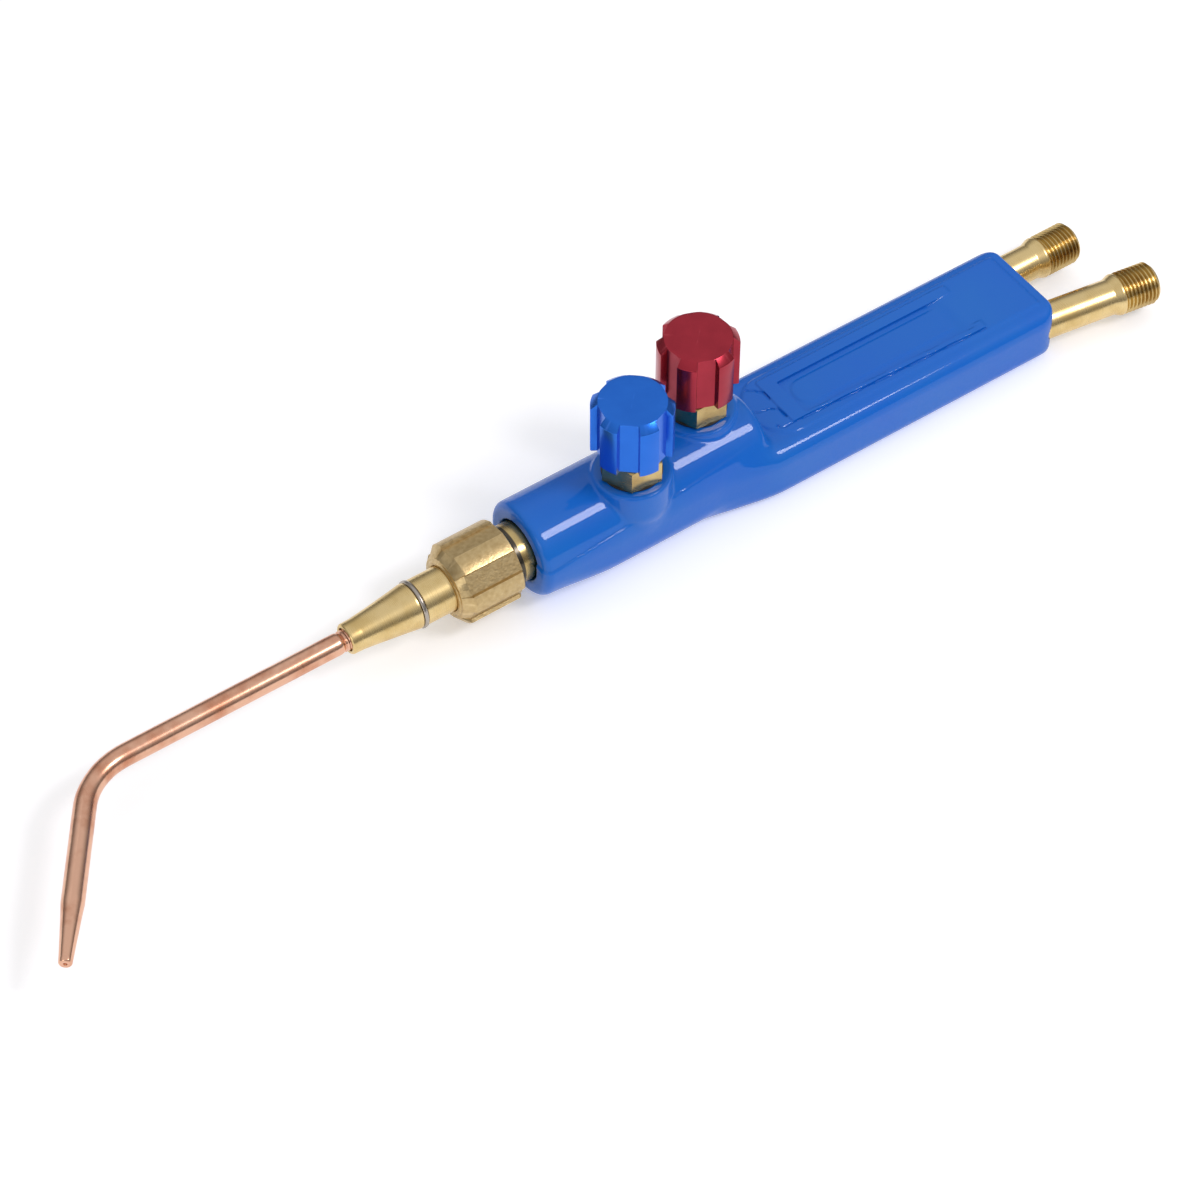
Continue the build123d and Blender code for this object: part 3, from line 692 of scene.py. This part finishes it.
# %% Geometry node helper
def new_modifier_tree(name, inputs):
    """Geometry tree with a Geometry input and output and named float inputs."""
    tree = bpy.data.node_groups.new(name, "GeometryNodeTree")
    tree.interface.new_socket("Geometry", in_out="INPUT", socket_type="NodeSocketGeometry")
    for label, kind in inputs:
        tree.interface.new_socket(label, in_out="INPUT", socket_type=kind)
    tree.interface.new_socket("Geometry", in_out="OUTPUT", socket_type="NodeSocketGeometry")
    return tree, tree.nodes.new("NodeGroupInput"), tree.nodes.new("NodeGroupOutput")


def run_tree(item, tree, values):
    """Give an object the tree, set its inputs by identifier, and keep the result as a plain mesh."""
    modifier = item.modifiers.new(tree.name, "NODES")
    modifier.node_group = tree
    for socket in tree.interface.items_tree:
        if socket.in_out == "INPUT" and socket.name in values:
            modifier[socket.identifier] = values[socket.name]
    graph = bpy.context.evaluated_depsgraph_get()
    made = bpy.data.meshes.new_from_object(item.evaluated_get(graph))
    item.modifiers.remove(modifier)
    item.data = made
    return item


def end_tree(tree, given, result, geometry):
    """Every tree ends in real geometry with its material set."""
    real = add_node(tree, "GeometryNodeRealizeInstances", Geometry=geometry)
    dressed = add_node(tree, "GeometryNodeSetMaterial", Geometry=real.outputs[0],
                       Material=given.outputs["Material"])
    feed(tree, result.inputs["Geometry"], dressed.outputs[0])


# %% Grip tree
FLOAT, MATERIAL = "NodeSocketFloat", "NodeSocketMaterial"
grip_tree, given, result = new_modifier_tree(
    "cut_grip", [("Count", FLOAT), ("Phase", FLOAT), ("Flat Floor", FLOAT), ("Slot Half", FLOAT),
                 ("Inner Limit", FLOAT), ("Material", MATERIAL)])
spot = grip_tree.nodes.new("GeometryNodeInputPosition")
split = add_node(grip_tree, "ShaderNodeSeparateXYZ", Vector=spot.outputs[0])
px, py, pz = split.outputs
reach = calc(grip_tree, "SQRT", calc(grip_tree, "ADD", calc(grip_tree, "MULTIPLY", px, px),
                                     calc(grip_tree, "MULTIPLY", py, py)))
angle = calc(grip_tree, "SUBTRACT", calc(grip_tree, "ARCTAN2", py, px), given.outputs["Phase"])
sector = calc(grip_tree, "DIVIDE", 2 * pi, given.outputs["Count"])
turns = calc(grip_tree, "ROUND", calc(grip_tree, "DIVIDE", angle, sector))
off = calc(grip_tree, "SUBTRACT", angle, calc(grip_tree, "MULTIPLY", turns, sector))
sine, cosine = calc(grip_tree, "SINE", off), calc(grip_tree, "COSINE", off)
floor_reach = calc(grip_tree, "DIVIDE", given.outputs["Flat Floor"], cosine)
beside = calc(grip_tree, "ABSOLUTE", calc(grip_tree, "MULTIPLY", reach, sine))
no_slot = calc(grip_tree, "GREATER_THAN", beside, given.outputs["Slot Half"])
floor_reach = calc(grip_tree, "ADD", floor_reach, no_slot)
new_reach = calc(grip_tree, "MINIMUM", reach, floor_reach)
kept_core = calc(grip_tree, "MINIMUM", reach, given.outputs["Inner Limit"])
new_reach = calc(grip_tree, "MAXIMUM", new_reach, kept_core)
ratio = calc(grip_tree, "DIVIDE", new_reach, calc(grip_tree, "MAXIMUM", reach, 1e-6))
moved = add_node(grip_tree, "ShaderNodeCombineXYZ", X=calc(grip_tree, "MULTIPLY", px, ratio),
                 Y=calc(grip_tree, "MULTIPLY", py, ratio), Z=pz)
placed = add_node(grip_tree, "GeometryNodeSetPosition", Geometry=given.outputs["Geometry"],
                  Position=moved.outputs[0])
end_tree(grip_tree, given, result, placed.outputs[0])
print("grip tree", len(grip_tree.nodes), "nodes")


def place_mesh(item, placing, sharp=32.0):
    """Move a finished mesh to its place in its own points, and smooth it."""
    move = Matrix.Diagonal((MM, MM, MM, 1)) @ placing @ Matrix.Diagonal((1 / MM, 1 / MM, 1 / MM, 1))
    item.data.transform(move)
    item.data.shade_smooth()
    item.data.set_sharp_from_angle(angle=radians(sharp))


# %% [markdown]
# ## The knobs
# Each knob is turned from bar, slotted six times and then dyed. The slots run down to the edge of the flat
# top, which stays a full circle, and the long chamfer only meets the lobes. The blank is made on a lathe here
# too, with a blind bore for the spindle.

# %% Knobs
KNOB_BASE, KNOB_HEIGHT, KNOB_RADIUS, KNOB_RIM = 40.0, 19.0, 11.98, 9.84
LOBES, SLOT_HALF = 6, 3.2
KNOB_PHASE = {"oxygen": 49.0, "fuel": 68.0}


def knob_outline():
    bore, deep, top = 2.56, 14.0, KNOB_HEIGHT
    corners = [(bore, 0.0), (KNOB_RIM - 0.6, 0.0), (KNOB_RADIUS - 0.35, 0.0), (KNOB_RADIUS, 0.35),
               (KNOB_RADIUS, 6.0), (KNOB_RADIUS, 12.0), (KNOB_RADIUS, top - 2.05), (KNOB_RIM, top),
               (8.0, top)]
    cap = [(r, top) for r in (6.5, 5.0, 3.5, 2.2, 1.2, 0.5, 0.0)]
    return [(0.0, deep), (bore, deep)] + eased(corners, 0.16) + cap


for gas, (place, side) in VALVES.items():
    dye = "blue_anodised" if gas == "oxygen" else "red_anodised"
    knob = lathe(f"{gas}_grip", knob_outline(), Matrix.Identity(4), FINISH[dye], 360)
    run_tree(knob, grip_tree, {
        "Count": float(LOBES), "Phase": radians(KNOB_PHASE[gas]), "Flat Floor": (KNOB_RIM - 0.12) * MM,
        "Slot Half": SLOT_HALF * MM, "Inner Limit": 3.0 * MM, "Material": FINISH[dye]})
    place_mesh(knob, Matrix.Translation((place, side, KNOB_BASE)), 30.0)
    stand_for(knob, f"{gas}_knob", f"{gas}_knob")
    rim = eased([(5.1, 30.62), (8.9, 30.62), (8.9, 31.18), (5.1, 31.18), (5.1, 30.62)], 0.2)[:-1]
    seal = lathe(f"{gas}_flat_seal", rim, Matrix.Translation((place, side, 0)), FINISH["black_rubber"], 72)
    stand_for(seal, f"{gas}_bonnet_seal", "torch")

# %% [markdown]
# ## The union nut
# The nut is a forged and turned brass ring that a hand can tighten. Six flat-floored slots leave six wide
# lobes, and the front is turned to a steep cone. It uses the same tree as the knobs.

# %% Union nut
NUT_RADIUS, NUT_REAR, NUT_FRONT, NUT_BEVEL = 12.38, 97.5, 117.5, 3.0
NUT_PHASE, NUT_SLOT_HALF, NUT_SLOT_DEPTH = 10.0, 3.4, 1.5


def nut_outline():
    corners = [(8.06, NUT_REAR), (9.4, NUT_REAR), (NUT_RADIUS - 0.6, NUT_REAR), (NUT_RADIUS, NUT_REAR + 0.6),
               (NUT_RADIUS, 104.0), (NUT_RADIUS, 110.0), (NUT_RADIUS, NUT_FRONT - NUT_BEVEL),
               (NUT_RADIUS - NUT_BEVEL, NUT_FRONT - 0.3), (8.6, NUT_FRONT - 0.3), (8.2, NUT_FRONT),
               (7.3, NUT_FRONT), (7.06, NUT_FRONT - 0.5), (7.06, NUT_FRONT - 4.0), (8.06, NUT_FRONT - 4.0),
               (8.06, NUT_REAR)]
    return eased(corners, 0.18)[:-1]


nut = lathe("union_nut_grip", nut_outline(), Matrix.Identity(4), FINISH["cast_brass"], 360)
run_tree(nut, grip_tree, {
    "Count": float(LOBES), "Phase": radians(NUT_PHASE), "Flat Floor": (NUT_RADIUS - NUT_SLOT_DEPTH) * MM,
    "Slot Half": NUT_SLOT_HALF * MM, "Inner Limit": 8.9 * MM, "Material": FINISH["cast_brass"]})
place_mesh(nut, ON_AXIS, 30.0)
stand_for(nut, "union_nut", "union_nut")

# %% [markdown]
# ## Screw threads
# The hose inlets carry a real pipe thread. A thread is one ridge wound round a bar, so a tree winds it: the
# distance along the bar minus the turn so far says where on the ridge a point is. It fades out at both ends
# as a cut thread does. The skin is joined to a plain inner wall, and the two are merged into a closed sleeve.

# %% Thread tree
thread_tree, given, result = new_modifier_tree(
    "wind_thread", [("Pitch", FLOAT), ("Root", FLOAT), ("Crest", FLOAT), ("Length", FLOAT),
                    ("Run Out", FLOAT), ("Material", MATERIAL)])
AROUND, STATIONS = 97, 281


def wound_skin(columns, outer):
    """Grid whose x runs along the thread and whose y runs once round it."""
    grid = thread_tree.nodes.new("GeometryNodeMeshGrid")
    for label, value in (("Size X", 1.0), ("Size Y", 1.0), ("Vertices X", columns), ("Vertices Y", AROUND)):
        grid.inputs[label].default_value = value
    here = thread_tree.nodes.new("GeometryNodeInputPosition")
    parts = add_node(thread_tree, "ShaderNodeSeparateXYZ", Vector=here.outputs[0])
    share = calc(thread_tree, "ADD", parts.outputs[0], 0.5)
    turn = calc(thread_tree, "ADD", parts.outputs[1], 0.5)
    run = calc(thread_tree, "MULTIPLY", share, given.outputs["Length"])
    swing = calc(thread_tree, "MULTIPLY", turn, 2 * pi)
    from_end = calc(thread_tree, "MINIMUM", run, calc(thread_tree, "SUBTRACT", given.outputs["Length"], run))
    fade = calc(thread_tree, "MINIMUM", calc(thread_tree, "DIVIDE", from_end, given.outputs["Run Out"]), 1.0)
    if outer:
        phase = calc(thread_tree, "SUBTRACT", calc(thread_tree, "DIVIDE", run, given.outputs["Pitch"]), turn)
        wave = calc(thread_tree, "MULTIPLY", calc(thread_tree, "PINGPONG", phase, 0.5), 2.0)
        flank = calc(thread_tree, "SUBTRACT", calc(thread_tree, "MULTIPLY", wave, 1.3), 0.15)
        ridge = calc(thread_tree, "MAXIMUM", calc(thread_tree, "MINIMUM", flank, 1.0), 0.0)
        height = calc(thread_tree, "SUBTRACT", given.outputs["Crest"], given.outputs["Root"])
        lift = calc(thread_tree, "MULTIPLY", calc(thread_tree, "MULTIPLY", ridge, fade), height)
    else:
        lift = calc(thread_tree, "MULTIPLY", fade, -0.0003)
    radius = calc(thread_tree, "ADD", given.outputs["Root"], lift)
    spot = add_node(thread_tree, "ShaderNodeCombineXYZ",
                    X=calc(thread_tree, "MULTIPLY", radius, calc(thread_tree, "COSINE", swing)),
                    Y=calc(thread_tree, "MULTIPLY", radius, calc(thread_tree, "SINE", swing)), Z=run)
    made = add_node(thread_tree, "GeometryNodeSetPosition", Geometry=grid.outputs["Mesh"],
                    Position=spot.outputs[0])
    return made.outputs[0]


both_skins = thread_tree.nodes.new("GeometryNodeJoinGeometry")
inner_skin = add_node(thread_tree, "GeometryNodeFlipFaces", Mesh=wound_skin(5, False))
thread_tree.links.new(wound_skin(STATIONS, True), both_skins.inputs[0])
thread_tree.links.new(inner_skin.outputs[0], both_skins.inputs[0])
merged = add_node(thread_tree, "GeometryNodeMergeByDistance", Geometry=both_skins.outputs[0])
merged.inputs["Distance"].default_value = 2e-6
end_tree(thread_tree, given, result, merged.outputs[0])


def threaded_sleeve(name, pitch, root, crest, length, run_out, material):
    """Closed thread sleeve about +Z from 0 to its length, in millimetres."""
    item = bpy.data.objects.new(name, bpy.data.meshes.new(name))
    scene.collection.objects.link(item)
    run_tree(item, thread_tree, {"Pitch": pitch * MM, "Root": root * MM, "Crest": crest * MM,
                                 "Length": length * MM, "Run Out": run_out * MM, "Material": material})
    work = bmesh.new()
    work.from_mesh(item.data)
    bmesh.ops.recalc_face_normals(work, faces=work.faces)
    open_edges = sum(1 for e in work.edges if len(e.link_faces) != 2)
    work.to_mesh(item.data)
    work.free()
    print(f"{name}: {len(item.data.polygons)} faces, open edges {open_edges}")
    return item


# %% [markdown]
# ## The hose inlets
# Each inlet is a turned brass tube: a plain neck, a shoulder, the thread and a cone inside for the nipple.
# The body is turned at the thread's root, and the wound thread is laid over it as a sleeve of its own on the
# same body.

# %% Inlets
THREAD_CREST, THREAD_ROOT, THREAD_PITCH, THREAD_LENGTH = 6.56, 5.7, 1.337, 12.5
BORE, SEAT = 1.9, 4.4


def inlet_outline(neck, shoulder):
    start = neck + shoulder
    end = start + THREAD_LENGTH
    seat_deep = (SEAT - BORE) / tan(radians(30))
    corners = [(BORE, -INSERT), (TAIL_RADIUS, -INSERT), (TAIL_RADIUS, -NECK_DEPTH),
               (NECK_RADIUS, -NECK_DEPTH), (NECK_RADIUS, neck), (THREAD_CREST, start),
               (THREAD_CREST, start + 0.7), (THREAD_ROOT, start + 1.3), (THREAD_ROOT, end - 0.6),
               (THREAD_ROOT, end), (THREAD_ROOT - 0.2, end + 0.42), (SEAT + 0.3, end + 0.46),
               (SEAT, end + 0.4), (BORE, end + 0.4 - seat_deep), (BORE, -INSERT)]
    return eased(corners, 0.3)[:-1]


for gas, (spread, splay, neck, shoulder) in INLETS.items():
    toward = 1 if spread > 0 else -1
    aim = Matrix.Rotation(radians(-toward * splay), 4, "Z") @ Matrix.Rotation(-pi / 2, 4, "Y")
    placing = Matrix.Translation((BODY_REAR, spread, 9.5)) @ aim
    tube = lathe(f"{gas}_hose_inlet", inlet_outline(neck, shoulder), placing, FINISH["brass"], 96, 14.0)
    sleeve = threaded_sleeve(f"{gas}_thread", THREAD_PITCH, THREAD_ROOT - 0.02, THREAD_CREST,
                             THREAD_LENGTH - 0.5, 0.7, FINISH["valve_brass"])
    place_mesh(sleeve, placing @ Matrix.Translation((0, 0, neck + shoulder + 0.5)), 50.0)
    stand_for(tube, f"{gas}_inlet", "torch")
    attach(sleeve, "torch")

# %% [markdown]
# ## The copper nozzle
# The nozzle is drawn copper tube, bent cold round a former and hammered down to a small mouth. Its centre
# line lies level, so the tube is swept along it with a radius that changes: a few cut rings at the root,
# a bend that is slightly flattened, and a tip with the faint flats that hammering leaves.

# %% Nozzle
ROOT_X, BEND_X, BEND_ANGLE, BEND_RADIUS, REACH = 149.0, 232.9, radians(54.0), 22.5, 63.05
TUBE_RADIUS, TIP_RADIUS, SWAGE, MOUTH, INNER = 3.25, 1.9, 19.6, 0.55, 1.6


def nozzle_point(run):
    """Centre point and heading of the nozzle at a distance from its root."""
    tangent = BEND_RADIUS * tan(BEND_ANGLE / 2)
    straight = BEND_X - tangent - ROOT_X
    arc = BEND_RADIUS * BEND_ANGLE
    if run <= straight:
        return Vector((ROOT_X + run, 0, AXIS_HEIGHT)), 0.0
    if run <= straight + arc:
        turn = (run - straight) / BEND_RADIUS
        along_bend = ROOT_X + straight + BEND_RADIUS * sin(turn)
        return Vector((along_bend, BEND_RADIUS * (1 - cos(turn)), AXIS_HEIGHT)), turn
    past = run - straight - arc + tangent
    return Vector((BEND_X + past * cos(BEND_ANGLE), past * sin(BEND_ANGLE), AXIS_HEIGHT)), BEND_ANGLE


NOZZLE_RUN = (BEND_X - ROOT_X) - 2 * BEND_RADIUS * tan(BEND_ANGLE / 2) + BEND_RADIUS * BEND_ANGLE + REACH
TURNS = 72


def nozzle_ring(run, radius, points):
    """One ring of the tube, flattened in the bend and faceted near the tip."""
    centre, heading = nozzle_point(max(run, 0.0))
    if run < 0:
        centre = centre + Vector((run, 0, 0))
    across, up = Vector((-sin(heading), cos(heading), 0)), Vector((0, 0, 1))
    bend = sin(min(max(heading / BEND_ANGLE, 0), 1) * pi)
    swaged = min(max((run - (NOZZLE_RUN - SWAGE)) / SWAGE, 0), 1)
    row = []
    for i in range(TURNS):
        a = 2 * pi * i / TURNS
        flat = 1 - 0.035 * bend * abs(cos(a)) - 0.03 * swaged * (1 - abs(cos(3 * a + 0.4)))
        row.append(len(points))
        points.append(tuple(centre + across * (radius * flat * cos(a)) + up * (radius * flat * sin(a))))
    return row


nozzle_outside = [(-9.6, 2.98), (-0.4, 2.98), (0.2, 2.6)]
for n in range(3):
    nozzle_outside += [(0.5 + n * 0.9, 2.75), (0.85 + n * 0.9, 3.2), (1.15 + n * 0.9, 2.8)]
nozzle_outside += [(3.6, 3.15)]
body_runs = np.linspace(4.2, NOZZLE_RUN - SWAGE, 90)
nozzle_outside += [(float(r), TUBE_RADIUS) for r in body_runs]
for t in np.linspace(0.04, 1.0, 18):
    narrowed = TUBE_RADIUS + (TIP_RADIUS - TUBE_RADIUS) * t ** 0.9
    nozzle_outside.append((NOZZLE_RUN - SWAGE + t * (SWAGE - 0.5), narrowed))
nozzle_outside += [(NOZZLE_RUN - 0.22, TIP_RADIUS - 0.12), (NOZZLE_RUN, TIP_RADIUS - 0.45),
                   (NOZZLE_RUN, MOUTH + 0.12)]
nozzle_inside = [(NOZZLE_RUN - 0.12, MOUTH), (NOZZLE_RUN - 4.0, MOUTH), (NOZZLE_RUN - SWAGE, INNER)]
nozzle_inside += [(float(r), INNER) for r in np.linspace(NOZZLE_RUN - SWAGE - 2, 2.0, 50)] + [(-9.6, INNER)]
nozzle_points, nozzle_rows, nozzle_faces = [], [], []
for run, radius in nozzle_outside + nozzle_inside:
    nozzle_rows.append(nozzle_ring(run, radius, nozzle_points))
for low, high in zip(nozzle_rows, nozzle_rows[1:] + nozzle_rows[:1]):
    nozzle_faces += [(low[i], low[(i + 1) % TURNS], high[(i + 1) % TURNS], high[i]) for i in range(TURNS)]
nozzle = finish_mesh("copper_nozzle", nozzle_points, nozzle_faces, FINISH["copper"], 50.0)
stand_for(nozzle, "nozzle", "head")

# %% [markdown]
# ## The mixer and its ring
# The mixer is one long turned brass piece: a plain barrel with a groove for the steel ring, a slow cone, and
# a small rounded lip where the nozzle screws in. Turned again here, its corners are eased as a file would.
# The ring is spring wire with a gap, so that it can be opened over the barrel and snap into the groove.

# %% Mixer
# (radius, station) from the tail's bore, over its two seal grooves, the flange and the ring's groove, down
# the cone to the lip, and back through the nozzle's socket
MIXER_OUTLINE = [
    (1.52, 85.4), (4.45, 84.6), (4.95, 85.1), (4.95, 87.2), (3.45, 87.2), (3.45, 88.8), (4.95, 88.8),
    (4.95, 99.2), (3.45, 99.2), (3.45, 100.8), (4.95, 100.8), (4.95, 109.5), (7.6, 109.5), (7.6, 113.2),
    (7.0, 113.2), (7.0, 126.8), (6.3, 126.8), (6.3, 128.4), (7.0, 128.4), (6.98, 129.2), (6.3, 134.0),
    (5.8, 138.0), (5.32, 142.0), (4.82, 146.4), (4.72, 149.9), (4.3, 150.38), (3.6, 150.38),
    (3.55, 148.8), (3.0, 148.8), (3.0, 139.4), (1.52, 139.4), (1.52, 85.4)]
mixer = lathe("mixer_turned", eased(MIXER_OUTLINE, 0.22)[:-1], ON_AXIS, FINISH["brass"], 128)
stand_for(mixer, "mixer_body", "head")

# %% Steel ring
RING_SECTION = [(6.34, 126.98), (7.1, 126.95), (7.36, 127.15), (7.44, 127.6), (7.36, 128.05), (7.1, 128.25),
                (6.34, 128.22)]
ring = lathe("steel_ring", RING_SECTION, ON_AXIS, FINISH["spring_steel"], 120, 50.0, gap=10.0)
stand_for(ring, "retaining_ring", "head")

# %% [markdown]
# ## Pieces that keep their CAD shape
# Hexagons, seals, spindles, pipes, the valve core and the sealed pieces inside are already right. Each gets
# the finish of its material slot, laid on the CAD node itself.

# %% Finishes for CAD nodes
KEPT = {"oxygen_bonnet": "valve_brass", "fuel_bonnet": "valve_brass", "oxygen_spindle": "valve_brass",
        "fuel_spindle": "valve_brass", "valve_core": "collar_brass", "injector": "brass",
        "oxygen_feed_pipe": "copper", "fuel_feed_pipe": "copper", "oxygen_spindle_packing": "black_rubber",
        "fuel_spindle_packing": "black_rubber", "rear_o_ring": "black_rubber", "front_o_ring": "black_rubber"}
for node, finish in KEPT.items():
    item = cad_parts[node]
    if not item.material_slots:
        item.data.materials.append(FINISH[finish])
    for slot in item.material_slots:
        slot.material = FINISH[finish]
print("kept nodes", len(KEPT))
